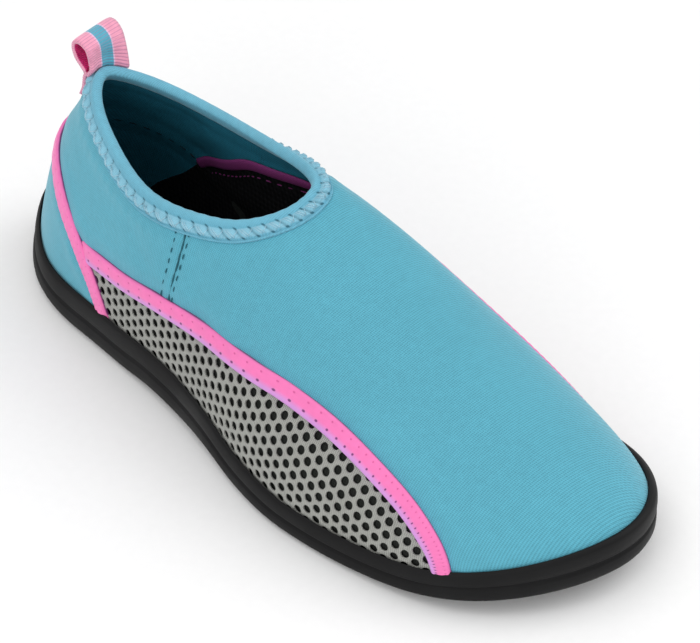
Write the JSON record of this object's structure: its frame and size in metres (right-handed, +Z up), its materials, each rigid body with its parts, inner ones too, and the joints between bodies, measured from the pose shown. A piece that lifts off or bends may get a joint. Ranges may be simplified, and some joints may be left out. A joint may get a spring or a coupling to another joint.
{
  "type": "water shoe",
  "caption": "Slip-on water shoe for the right foot: stretch upper, perforated side panels, sewn tapes, bound collar, heel pull loop and rubber cup sole.",
  "frame": {"origin": "on the ground below the middle of the shoe's box", "axes": "+X towards the toe, +Y towards the wearer's left (the medial side), +Z up"},
  "size_m": [0.25, 0.0936, 0.0841],
  "materials": {
    "sole_rubber": "satin black moulded rubber",
    "insole_cloth": "matt black knit",
    "neoprene": "fine knit face on foam rubber, aqua blue",
    "mesh": "light grey perforated spacer mesh on a dark backing",
    "tape": "smooth pink tape with two rows of stitches",
    "binding": "soft folded band with a pale zigzag stitch",
    "webbing": "ribbed webbing, pink, blue and pink stripes"
  },
  "bodies": {
    "root": {"outsole": "sole_rubber", "insole": "insole_cloth", "upper": "neoprene", "mesh_panel_lateral": "mesh", "mesh_panel_medial": "mesh", "side_tape_lateral": "tape", "side_tape_medial": "tape", "heel_tape": "tape", "collar_binding": "binding", "pull_loop": "webbing"}
  },
  "joints": []
}
